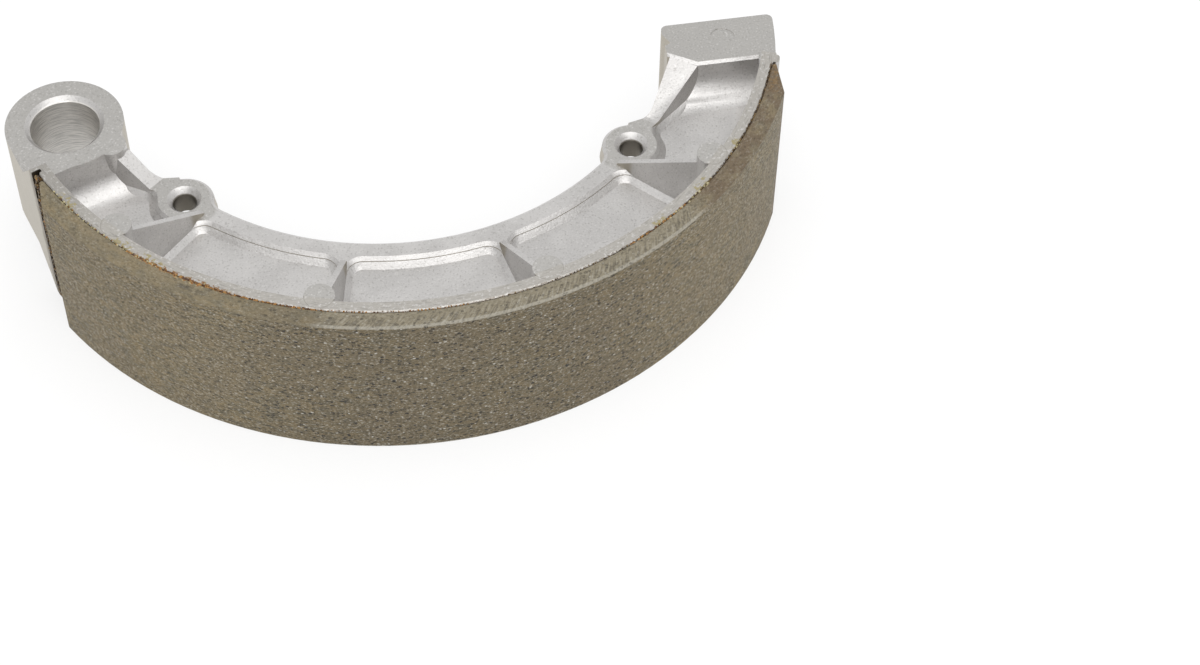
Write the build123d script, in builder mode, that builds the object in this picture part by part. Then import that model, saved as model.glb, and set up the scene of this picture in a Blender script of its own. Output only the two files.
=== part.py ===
from build123d import *

import os
from math import acos, asin, atan2, cos, degrees, hypot, radians, sin, tan

os.makedirs("parts", exist_ok=True)

# Bonded shoe of an internal expanding drum brake: one aluminium die casting and one friction lining.
# The origin lies on the drum's axis, which is the Z axis, at the middle of the shoe's width.
# Radii without a named centre are measured from that axis, an inset is a distance inward from the
# drum's radius, and angles run from +X in degrees. So the shoe lies on the -Y side with its pivot
# end at -X and its cam end at +X, and the cam's face lies along X. Both faces of the casting are
# alike, apart from the ejector pins' marks on the upper one.

# Friction lining
drum_radius = 90.0
shoe_width = 40.0
lining_thickness = 4.3
lining_start = -153.3
lining_end = -20.1
lining_pivot_bevel = 6.4
lining_cam_bevel = 8.0
lining_edge = 1.1

# Table, the curved plate under the lining
table_thickness = 2.5
table_draft = 3.0
table_start = -156.0
table_end = -18.3
table_fillet = 5.0
lip_height = 1.6
lip_width = 2.3
lip_rounding = 0.9
groove_width = 0.9
groove_depth = 0.8

# Web and its inner flange
web_thickness = 4.0
flange_height = 8.0
flange_centre_y = 9.4
flange_inset = 27.6
flange_width = 5.8
casting_draft = 8.0
floor_bevel = 1.1
flange_bevel = 0.7
corner_fillet = 3.0

# Radial ribs
rib_count = 4
rib_first_angle = -139.5
rib_pitch = 33.0
rib_ridge_width = 1.3
rib_foot_inset = 31.0
rib_peak_inset = 10.0
rib_peak_height = 16.5

# Ears for the return springs' hooks
ear_hole_radius = 2.45
ear_inset = 30.4
ear_pivot_offset = 5.72
ear_cam_offset = 6.13
ear_radius = 6.9
countersink_radius = 3.75
countersink_angle = 84.0

# Pivot boss
boss_inset = 16.0
boss_angle = -168.15
boss_radius = 12.8
boss_length = 23.0
pivot_bore_radius = 7.5
pivot_bore_chamfer = 1.1
shoulder_inset = 3.1
shoulder_angle = -155.4
shoulder_ramp_angle = -161.3
boss_sweep_angle = -158.5
boss_sweep_radius = 6.2
boss_sweep_inset = 22.0

# Cam foot
foot_height = 21.0
cam_face_y = -5.4
foot_length = 25.8
foot_outer_inset = 3.6
foot_corner_radius = 1.5
foot_neck_depth = 8.95
foot_neck_length = 6.1
foot_depth = 12.8
foot_sweep_radius = 7.5
foot_edge_bevel = 0.6
table_fall_offset = 0.5
notch_start = 2.8
notch_depth = 1.4
notch_length = 3.4
notch_bottom = 2.7

# Necks, which carry the flange up to the boss and the foot, with the inner side's bend and end
pivot_neck_bend_inset = 29.5
pivot_neck_bend_angle = -153.7
pivot_neck_end_inset = 24.3
pivot_neck_end_angle = -165.6
pivot_neck_bend_width = 4.6
pivot_neck_end_width = 9.0
pivot_ramp_inset = 28.3
pivot_ramp_angle = -152.0
pivot_ramp_direction = 131.0
pivot_ramp_slope = 39.0
pivot_ramp_drop = 1.6
cam_neck_bend_inset = 30.1
cam_neck_bend_angle = -25.5
cam_neck_end_inset = 27.9
cam_neck_end_angle = -11.2
cam_neck_bend_width = 4.0
cam_neck_end_width = 10.7
cam_ramp_inset = 26.9
cam_ramp_angle = -26.4
cam_ramp_direction = 63.0
cam_ramp_slope = 23.4
neck_corner_radius = 4.0

# Marks of the ejector pins
pin_radius = 3.2
pin_inset = 7.8
boss_pin_inset = 23.2
boss_pin_angle = -160.1
foot_pin_inset = 15.4
foot_pin_angle = -8.4
foot_pin_radius = 2.8
foot_pin_sink = 0.15

# How close two places must be to count as one
same_place = 0.001

# Values worked out from the sizes above
half_width = shoe_width / 2
flange_inner_radius = drum_radius - flange_inset
rib_foot_radius = drum_radius - rib_foot_inset
rib_peak_radius = drum_radius - rib_peak_inset
boss_orbit = drum_radius - boss_inset
foot_outer_radius = drum_radius - foot_outer_inset
foot_inner_x = foot_outer_radius - foot_length
foot_sweep_y = cam_face_y - foot_depth
notch_y = cam_face_y - notch_start
table_outer_radius = drum_radius - lining_thickness
table_inner_radius = table_outer_radius - table_thickness
table_middle_radius = table_outer_radius - table_thickness / 2
floor_height = web_thickness / 2
table_foot_radius = table_inner_radius - (half_width - floor_height) * tan(radians(table_draft))
flange_top = flange_height / 2
flange_outer_radius = flange_inner_radius + flange_width
flange_middle_radius = flange_inner_radius + flange_width / 2
boss_top = boss_length / 2
foot_top = foot_height / 2
draft_slope = tan(radians(casting_draft))
rib_slope = (rib_peak_height - flange_top) / (rib_peak_radius - rib_foot_radius)
table_root_radius = table_foot_radius - table_fillet
fall_radius = half_width - foot_top
fall_sweep = degrees((table_fall_offset + fall_radius) / table_middle_radius)
face_start = lining_start + degrees(lining_pivot_bevel / drum_radius)
face_end = lining_end - degrees(lining_cam_bevel / drum_radius)
lip_sweep = degrees(lip_width / table_outer_radius)
cam_face_angle = degrees(asin(cam_face_y / foot_outer_radius))
foot_sweep_angle = degrees(asin(foot_sweep_y / table_middle_radius))
ramp_run = table_middle_radius * sin(radians(table_start - shoulder_ramp_angle))
rib_angles = [rib_first_angle + rib_pitch * number for number in range(rib_count)]


def polar(radius, angle):
    """Point at a radius and an angle about the drum's axis."""
    return Vector(radius * cos(radians(angle)), radius * sin(radians(angle)))


def placed(inset, angle):
    """Point at an inset from the drum's radius and an angle about its axis."""
    return polar(drum_radius - inset, angle)


def meridian(angle):
    """Plane through the drum's axis, with its x outward at the angle and its y along +Z."""
    outward = polar(1, angle)
    return Plane(origin=(0, 0, 0), x_dir=outward, z_dir=(outward.Y, -outward.X, 0))


def cross_plane(radius, angle):
    """Plane square to the radius at the angle, with its x along the arc and its y along +Z."""
    outward = polar(1, angle)
    return Plane(origin=outward * radius, x_dir=(-outward.Y, outward.X, 0), z_dir=outward)


def upright_plane(point, direction):
    """Plane through the point that holds the direction as its x and +Z as its y."""
    along = polar(1, direction)
    return Plane(origin=point, x_dir=along, z_dir=(along.Y, -along.X, 0))


def rib_height(radius):
    """Height of a rib's ridge above the mid-plane at a radius."""
    return flange_top + rib_slope * (radius - rib_foot_radius)


def rib_half_width(radius):
    """Half of a rib's width at the mid-plane, where its drafted sides start."""
    return rib_ridge_width / 2 + rib_height(radius) * draft_slope


def lies_on(centre, radius):
    """Test whether a corner lies on a circle, for choosing the corners to round."""
    return lambda corner: abs(hypot(corner.X - centre.X, corner.Y - centre.Y) - radius) < same_place


def nearest_corners(sketch, points):
    """Corners of a sketch that lie nearest to the points."""
    return [sketch.vertices().sort_by_distance(point)[0] for point in points]


def neck_across(bend, end, turn):
    """Direction across a neck, from its inner side to its outer one, for a turn of +1 or -1."""
    return (end - bend).normalized().rotate(Axis.Z, 90 * turn)


def neck_plan(ear, bend, end, bend_width, end_width, turn):
    """Plan of a neck, from the ear's centre, with its inner side's bend and end and its widths there."""
    across = neck_across(bend, end, turn)
    outer_bend = bend + across * bend_width
    outer_end = end + across * end_width
    outer_start = outer_bend - (outer_end - outer_bend).normalized() * ear_radius
    corners = [ear, outer_start, outer_end, end, bend, ear + Vector(0, ear_radius)]
    with BuildSketch() as plan:
        with BuildLine():
            Polyline(*corners[::-turn], close=True)
        make_face()
        fillet(nearest_corners(plan, [bend]), neck_corner_radius)
    return plan.sketch


drum_axis = Vector(0, 0)
flange_centre = Vector(0, flange_centre_y)
flange_middle = flange_centre - Vector(0, flange_middle_radius)
pivot_centre = polar(boss_orbit, boss_angle)
ear_orbit = drum_radius - ear_inset
ear_angles = [
    rib_angles[0] - degrees(ear_pivot_offset / ear_orbit),
    rib_angles[-1] + degrees(ear_cam_offset / ear_orbit),
]
ear_centres = [placed(ear_inset, angle) for angle in ear_angles]
pivot_neck_bend = placed(pivot_neck_bend_inset, pivot_neck_bend_angle)
pivot_neck_end = placed(pivot_neck_end_inset, pivot_neck_end_angle)
foot_middle = Vector((foot_inner_x + foot_outer_radius) / 2, foot_sweep_y)
foot_neck_corner = Vector(foot_inner_x + foot_neck_length, foot_sweep_y)
cam_neck_bend = placed(cam_neck_bend_inset, cam_neck_bend_angle)
cam_neck_end = placed(cam_neck_end_inset, cam_neck_end_angle)

# Outer wall of the pivot end: the tangent from the shoulder's corner to the boss
shoulder_corner = placed(shoulder_inset, shoulder_angle)
to_shoulder = shoulder_corner - pivot_centre
wall_turn = degrees(acos(boss_radius / to_shoulder.length))
wall_angle = degrees(atan2(to_shoulder.Y, to_shoulder.X)) - wall_turn
wall_start = pivot_centre + polar(boss_radius, wall_angle)

flange_ends = [centre - flange_centre for centre in ear_centres]
flange_start_angle = degrees(atan2(flange_ends[0].Y, flange_ends[0].X))
flange_sweep = degrees(atan2(flange_ends[1].Y, flange_ends[1].X)) - flange_start_angle

# Plans of the two necks at the mid-plane
pivot_neck_plan = neck_plan(
    ear_centres[0], pivot_neck_bend, pivot_neck_end, pivot_neck_bend_width, pivot_neck_end_width, 1
)
cam_neck_plan = neck_plan(
    ear_centres[1], cam_neck_bend, cam_neck_end, cam_neck_bend_width, cam_neck_end_width, -1
)

# Plan of the ribs at the mid-plane, which run from under the flange into the table
with BuildSketch() as rib_plan:
    for angle in rib_angles:
        foot_offset = polar(rib_half_width(rib_foot_radius), angle + 90)
        end_offset = polar(rib_half_width(table_outer_radius), angle + 90)
        with BuildLine():
            Polyline(
                polar(rib_foot_radius, angle) - foot_offset,
                polar(table_outer_radius, angle) - end_offset,
                polar(table_outer_radius, angle) + end_offset,
                polar(rib_foot_radius, angle) + foot_offset,
                close=True,
            )
        make_face()

# Plan of the flange, the ears, the necks and the ribs at the mid-plane
with BuildSketch() as frame_plan:
    with BuildLine():
        outer = CenterArc(flange_centre, flange_outer_radius, flange_start_angle, flange_sweep)
        inner = CenterArc(flange_centre, flange_inner_radius, flange_start_angle, flange_sweep)
        Line(inner @ 0, outer @ 0)
        Line(inner @ 1, outer @ 1)
    make_face()
    with Locations(*ear_centres):
        Circle(ear_radius)
    add([pivot_neck_plan, cam_neck_plan])
    add(rib_plan.sketch)
    corners = frame_plan.vertices()
    rounded = corners.filter_by(lies_on(flange_centre, flange_outer_radius))
    for centre in ear_centres:
        rounded += corners.filter_by(lies_on(centre, ear_radius)).sort_by(Axis.Y)[:-1]
    fillet(rounded, corner_fillet)

# Plan of the web, which ends under the flange and inside the table, the boss and the foot
with BuildSketch() as web_plan:
    with BuildLine():
        web_edge = CenterArc(drum_axis, table_middle_radius, shoulder_angle, table_end - shoulder_angle)
        flange_line = ThreePointArc(ear_centres[0], flange_middle, ear_centres[1])
        pivot_across = neck_across(pivot_neck_bend, pivot_neck_end, 1)
        cam_across = neck_across(cam_neck_bend, cam_neck_end, -1)
        pivot_root = pivot_neck_end + pivot_across * pivot_neck_end_width / 2
        cam_root = cam_neck_end + cam_across * cam_neck_end_width / 2
        Polyline(flange_line @ 0, pivot_root, pivot_centre, web_edge @ 0)
        Polyline(flange_line @ 1, cam_root, foot_middle, web_edge @ 1)
    make_face()

# Upper half of the ribs, cut to the slope of their ridges
with BuildPart() as upper_ribs:
    extrude(rib_plan.sketch, amount=rib_height(table_outer_radius), taper=casting_draft)
    with BuildSketch(meridian(table_start)):
        with BuildLine():
            Polyline(
                (rib_foot_radius, 0),
                (rib_foot_radius, flange_top),
                (table_outer_radius, rib_height(table_outer_radius)),
                (table_outer_radius, 0),
                close=True,
            )
        make_face()
    revolve(axis=Axis.Z, revolution_arc=table_end - table_start, mode=Mode.INTERSECT)

# Upper half of the flange, the ears and the foot of the ribs, bevelled along the top
with BuildPart() as upper_frame:
    extrude(frame_plan.sketch, amount=flange_top, taper=casting_draft)
    rims = upper_frame.faces().sort_by(Axis.Z)[-1].edges()
    chamfer(rims.filter_by(lambda rim: rim.center().length < table_foot_radius), flange_bevel)


def neck_ramp(plan, start, direction, slope, top):
    """Upper half of a neck, whose top climbs from the flange to a boss or foot.

    The plan is at the mid-plane, and the climb begins at the start, along the direction.
    """
    reach = 2 * boss_radius
    run = (top - flange_top) / tan(radians(slope))
    with BuildPart() as ramp:
        extrude(plan, amount=top, taper=casting_draft)
        with BuildSketch(upright_plane(start, direction)):
            with BuildLine():
                Polyline(
                    (-reach, flange_top),
                    (0, flange_top),
                    (run, top),
                    (run, top + reach),
                    (-reach, top + reach),
                    close=True,
                )
            make_face()
        extrude(amount=2 * reach, both=True, mode=Mode.SUBTRACT)
    return ramp.part


pivot_ramp_start = placed(pivot_ramp_inset, pivot_ramp_angle)
cam_ramp_start = placed(cam_ramp_inset, cam_ramp_angle)
pivot_neck = neck_ramp(
    pivot_neck_plan,
    pivot_ramp_start,
    pivot_ramp_direction,
    pivot_ramp_slope,
    boss_top - pivot_ramp_drop,
)
cam_neck = neck_ramp(cam_neck_plan, cam_ramp_start, cam_ramp_direction, cam_ramp_slope, foot_top)

# Upper half of the table, blended into the web
with BuildPart() as upper_table:
    with BuildSketch(meridian(table_start)) as table_section:
        with BuildLine():
            Polyline(
                (table_outer_radius, 0),
                (table_outer_radius, half_width),
                (table_inner_radius, half_width),
                (table_foot_radius, floor_height),
                (table_root_radius, floor_height),
                (table_root_radius, 0),
                close=True,
            )
        make_face()
        fillet(nearest_corners(table_section, [(table_foot_radius, floor_height)]), table_fillet)
    revolve(axis=Axis.Z, revolution_arc=table_end - table_start)

# Upper half of the boss, with the sweep that leads down from it into the first pocket
with BuildPart() as boss_sweep:
    with BuildSketch(cross_plane(flange_inner_radius, boss_sweep_angle)):
        with BuildLine():
            drafted = (boss_top - floor_height - boss_sweep_radius) * draft_slope
            curve_centre = (drafted + boss_sweep_radius, floor_height + boss_sweep_radius)
            curve = CenterArc(curve_centre, boss_sweep_radius, 180, 90)
            Polyline(
                curve @ 0,
                (0, boss_top),
                (-boss_sweep_radius, boss_top),
                (-boss_sweep_radius, 0),
                (drafted + boss_sweep_radius, 0),
                curve @ 1,
            )
        make_face()
    extrude(amount=table_middle_radius - flange_inner_radius)
    with BuildSketch():
        with BuildLine():
            Polyline(
                pivot_centre,
                polar(table_middle_radius, boss_angle),
                polar(table_middle_radius, rib_first_angle),
                pivot_neck_bend,
                placed(boss_sweep_inset, boss_sweep_angle),
                close=True,
            )
        make_face()
    extrude(amount=boss_top, mode=Mode.INTERSECT)
with BuildPart() as upper_boss:
    with BuildSketch():
        with Locations(pivot_centre):
            Circle(boss_radius)
        with BuildLine():
            Polyline(
                pivot_centre,
                wall_start,
                shoulder_corner,
                polar(table_middle_radius, shoulder_angle),
                polar(table_middle_radius, boss_sweep_angle),
                placed(boss_sweep_inset, boss_sweep_angle),
                close=True,
            )
        make_face()
    extrude(amount=boss_top)
    add(boss_sweep.part)

# Shoulder that climbs from the boss to the table's full width, with the table's inner wall
with BuildPart() as upper_shoulder:
    with BuildSketch(meridian(boss_angle)):
        with BuildLine():
            Polyline(
                (table_foot_radius, floor_height),
                (drum_radius, floor_height),
                (drum_radius, half_width),
                (table_inner_radius, half_width),
                close=True,
            )
        make_face()
    revolve(axis=Axis.Z, revolution_arc=shoulder_angle - boss_angle)
    with BuildSketch():
        with BuildLine():
            Polyline(
                pivot_centre,
                wall_start,
                shoulder_corner,
                placed(boss_sweep_inset, shoulder_angle),
                close=True,
            )
        make_face()
    extrude(amount=half_width, mode=Mode.INTERSECT)
    with BuildSketch(cross_plane(table_middle_radius, table_start)):
        with BuildLine():
            Polyline(
                (-ramp_run, boss_top),
                (0, half_width),
                (0, shoe_width),
                (-boss_orbit, shoe_width),
                (-boss_orbit, boss_top),
                close=True,
            )
        make_face()
    extrude(amount=boss_radius, both=True, mode=Mode.SUBTRACT)

# Upper half of the foot, with the sweep that leads down from it into the last pocket
with BuildPart() as foot_sweep:
    with BuildSketch(Plane.YZ.offset(foot_inner_x)):
        with BuildLine():
            curve_centre = (foot_sweep_y - foot_sweep_radius, floor_height + foot_sweep_radius)
            curve = CenterArc(curve_centre, foot_sweep_radius, 0, -90)
            Polyline(
                curve @ 0,
                (foot_sweep_y, foot_top),
                (foot_sweep_y + foot_sweep_radius / 2, foot_top),
                (foot_sweep_y + foot_sweep_radius / 2, 0),
                (foot_sweep_y - foot_sweep_radius, 0),
                curve @ 1,
            )
        make_face()
    extrude(amount=table_inner_radius - foot_inner_x)
    with BuildSketch():
        with BuildLine():
            Polyline(
                cam_neck_bend,
                foot_neck_corner,
                foot_neck_corner + Vector(0, foot_sweep_radius),
                polar(table_middle_radius, 0),
                polar(table_middle_radius, foot_sweep_angle),
                polar(table_middle_radius, cam_ramp_angle),
                close=True,
            )
        make_face()
    extrude(amount=foot_top, mode=Mode.INTERSECT)
with BuildPart() as upper_foot:
    with BuildSketch() as foot_plan:
        with BuildLine():
            side = CenterArc(drum_axis, foot_outer_radius, table_end, cam_face_angle - table_end)
            Polyline(
                side @ 1,
                (foot_inner_x, cam_face_y),
                (foot_inner_x, cam_face_y - foot_neck_depth),
                foot_neck_corner,
                (polar(table_middle_radius, foot_sweep_angle).X, foot_sweep_y),
                polar(table_middle_radius, table_end),
                side @ 0,
            )
        make_face()
        fillet(foot_plan.vertices().group_by(Axis.Y)[-1], foot_corner_radius)
        with BuildLine():
            Polyline(
                (foot_inner_x - notch_depth, notch_y),
                (foot_inner_x - notch_depth, notch_y - notch_length),
                (foot_inner_x, notch_y - notch_length),
                (foot_inner_x + notch_depth, notch_y - notch_bottom),
                (foot_inner_x, notch_y),
                close=True,
            )
        make_face(mode=Mode.SUBTRACT)
    extrude(amount=foot_top)
    add(foot_sweep.part)
    top_edges = upper_foot.edges().group_by(Axis.Z)[-1]
    chamfer(top_edges.sort_by_distance(foot_neck_corner + Vector(0, 0, foot_top))[:2], foot_edge_bevel)

# End of the table that falls to the foot along a hollow curve
with BuildPart() as upper_fall:
    with BuildSketch(meridian(table_end)):
        with BuildLine():
            Polyline(
                (table_foot_radius, floor_height),
                (foot_outer_radius, floor_height),
                (foot_outer_radius, half_width),
                (table_inner_radius, half_width),
                close=True,
            )
        make_face()
    revolve(axis=Axis.Z, revolution_arc=fall_sweep)
    with BuildSketch(cross_plane(table_middle_radius, table_end)):
        with BuildLine():
            curve = CenterArc((table_fall_offset + fall_radius, half_width), fall_radius, 180, 90)
            Polyline(
                curve @ 1,
                (boss_orbit, foot_top),
                (boss_orbit, shoe_width),
                (table_fall_offset, shoe_width),
                curve @ 0,
            )
        make_face()
    extrude(amount=boss_radius, both=True, mode=Mode.SUBTRACT)

# Lip that backs the lining's cam end
with BuildPart() as upper_lip:
    with BuildSketch() as lip_plan:
        with BuildLine():
            crest = CenterArc(drum_axis, table_outer_radius + lip_height, table_end - lip_sweep, lip_sweep)
            Polyline(
                crest @ 1,
                polar(table_middle_radius, table_end),
                polar(table_middle_radius, table_end - lip_sweep),
                crest @ 0,
            )
        make_face()
        crest_corners = lies_on(drum_axis, table_outer_radius + lip_height)
        fillet(lip_plan.vertices().filter_by(crest_corners), lip_rounding)
    extrude(amount=half_width)

# Upper half of the casting, with its floors bevelled up to what stands on them
with BuildPart() as upper_half:
    extrude(web_plan.sketch, amount=floor_height)
    add([upper_frame.part, upper_ribs.part, pivot_neck, cam_neck])
    with BuildSketch():
        Circle(table_middle_radius)
    extrude(amount=half_width, mode=Mode.INTERSECT)
    floor_edges = upper_half.faces().filter_by(Plane.XY).group_by(Axis.Z)[1].edges()
    inner_edges = floor_edges.filter_by(lambda edge: edge.is_interior).sort_by(Axis.Y)
    # The two highest are the necks' ends, which lie inside the boss and the foot
    chamfer(inner_edges[:-2], floor_bevel)
    add([upper_table.part, upper_boss.part, upper_shoulder.part, upper_foot.part, upper_fall.part])
    add(upper_lip.part)
    with Locations(*[centre + Vector(0, 0, flange_top) for centre in ear_centres]):
        CounterSinkHole(ear_hole_radius, countersink_radius, flange_top, countersink_angle)
    with BuildSketch():
        with Locations(pivot_centre):
            Circle(pivot_bore_radius)
    extrude(amount=boss_top, mode=Mode.SUBTRACT)
    pivot_top = pivot_centre + Vector(0, 0, boss_top)
    bore_edges = upper_half.edges().filter_by(GeomType.CIRCLE)
    chamfer(bore_edges.sort_by_distance(pivot_top)[0], pivot_bore_chamfer)
# The casting
with BuildPart() as shoe_casting:
    add(upper_half.part)
    mirror(about=Plane.XY)
    # Groove beside the shoulder
    with BuildSketch(cross_plane(table_outer_radius - groove_depth, shoulder_angle)):
        with Locations((groove_width / 2, 0)):
            Rectangle(groove_width, 2 * shoe_width)
    extrude(amount=lining_thickness, mode=Mode.SUBTRACT)
    # Marks of the ejector pins, on the upper face alone
    with BuildSketch(Plane.XY.offset(floor_height)):
        with Locations(*[placed(pin_inset, angle) for angle in rib_angles]):
            Circle(pin_radius)
    extrude(amount=half_width - floor_height)
    with BuildSketch(Plane.XY.offset(floor_height)):
        with Locations(placed(boss_pin_inset, boss_pin_angle)):
            Circle(pin_radius)
    extrude(amount=boss_top - floor_height)
    with BuildSketch(Plane.XY.offset(foot_top - foot_pin_sink)):
        with Locations(placed(foot_pin_inset, foot_pin_angle)):
            Circle(foot_pin_radius)
    extrude(amount=foot_pin_sink, mode=Mode.SUBTRACT)
shoe_casting.part.label = "shoe_casting"

# The lining
with BuildPart() as friction_lining:
    with BuildSketch() as lining_plan:
        with BuildLine():
            seat = CenterArc(drum_axis, table_outer_radius, lining_start, lining_end - lining_start)
            face = CenterArc(drum_axis, drum_radius, face_start, face_end - face_start)
            Polyline(seat @ 0, polar(table_outer_radius + lining_edge, lining_start), face @ 0)
            Polyline(seat @ 1, polar(table_outer_radius + lining_edge, lining_end), face @ 1)
        make_face()
    extrude(amount=half_width, both=True)
friction_lining.part.label = "friction_lining"

export_step(shoe_casting.part, "parts/shoe_casting.step")
export_step(friction_lining.part, "parts/friction_lining.step")
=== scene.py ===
"""Brake shoe: finishes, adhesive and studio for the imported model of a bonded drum-brake shoe."""

import logging
import math
from dataclasses import dataclass
from enum import Enum

import bmesh
import bpy
from mathutils import Matrix, Vector


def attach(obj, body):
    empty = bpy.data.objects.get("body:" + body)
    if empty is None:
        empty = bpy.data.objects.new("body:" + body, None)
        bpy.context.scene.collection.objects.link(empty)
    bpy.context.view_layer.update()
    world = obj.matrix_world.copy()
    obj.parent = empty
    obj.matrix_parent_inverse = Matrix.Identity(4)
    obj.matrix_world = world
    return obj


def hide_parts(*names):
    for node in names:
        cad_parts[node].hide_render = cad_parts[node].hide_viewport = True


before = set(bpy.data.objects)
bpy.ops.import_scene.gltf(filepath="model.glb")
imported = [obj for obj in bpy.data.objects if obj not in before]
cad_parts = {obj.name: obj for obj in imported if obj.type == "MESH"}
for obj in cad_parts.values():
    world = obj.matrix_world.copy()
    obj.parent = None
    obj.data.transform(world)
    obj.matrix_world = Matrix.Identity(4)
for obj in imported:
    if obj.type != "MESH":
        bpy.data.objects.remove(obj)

LOG = logging.getLogger("brake_shoe")
MM = 0.001

Colour = tuple[float, float, float, float]
Triple = tuple[float, float, float]
Span = tuple[float, float]
Tree = bpy.types.NodeTree
Node = bpy.types.Node
Socket = bpy.types.NodeSocket

# Weight of the finer octaves in noise that breaks up an edge or a streak
BROKEN = 0.65
# Radius of the smallest and largest flecks, as shares of the one asked for
FLECK_RANGE: Span = (0.5, 1.4)
FLECK_EDGE = 0.1
CHANCE_EDGE = 0.02


@dataclass(frozen=True)
class Cover:
    """A pattern over a colour: the values where it begins and is full, and its share there."""

    start: float
    full: float
    share: float = 1.0


@dataclass(frozen=True)
class Flecks:
    """Flecks in a grid: a cell in millimetres, the share of cells with one, and its radius in cells."""

    cell: Triple
    share: float
    radius: float


class Face(Enum):
    """The shoe's two side faces, by the sign of their height."""

    UPPER = 1
    LOWER = -1


@dataclass(frozen=True)
class Sizes:
    """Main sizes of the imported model, in millimetres and degrees about the drum's axis."""

    drum_radius: float = 90.0
    joint_radius: float = 85.7
    table_radius: float = 82.5
    half_width: float = 20.0
    pivot_x: float = -72.423
    pivot_y: float = -15.196
    bore_radius: float = 7.5
    spring_holes: tuple[Span, Span] = ((-48.821, -34.186), (49.055, -33.850))
    hole_radius: float = 2.45
    ear_radius: float = 7.6
    flange_top: float = 4.0
    groove_angle: float = -155.2
    pin_radius: float = 3.2
    pin_distance: float = 82.2
    pin_angles: tuple[float, ...] = (-139.5, -106.5, -73.5, -40.5)


SIZES = Sizes()


def linear(code: str) -> Colour:
    """Turn an sRGB hex colour to linear light.

    Args:
        code: six hex digits, such as "B9B7B4".

    Returns:
        The linear colour with an alpha of 1.
    """
    parts = [int(code[start : start + 2], 16) / 255 for start in (0, 2, 4)]
    bent = [part / 12.92 if part <= 0.04045 else ((part + 0.055) / 1.055) ** 2.4 for part in parts]
    return (bent[0], bent[1], bent[2], 1.0)


def add_node(tree: Tree, kind: str, settings: dict | None = None, links: dict | None = None) -> Node:
    """Add one node with its settings and links.

    Args:
        tree: the node tree.
        kind: the node's type name.
        settings: attribute names and values of the node.
        links: input names or numbers, each with a socket to link or a value to set.

    Returns:
        The new node.
    """
    node = tree.nodes.new(kind)
    for name, value in (settings or {}).items():
        setattr(node, name, value)
    for name, value in (links or {}).items():
        if isinstance(value, bpy.types.NodeSocket):
            tree.links.new(value, node.inputs[name])
        else:
            node.inputs[name].default_value = value
    return node


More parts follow.
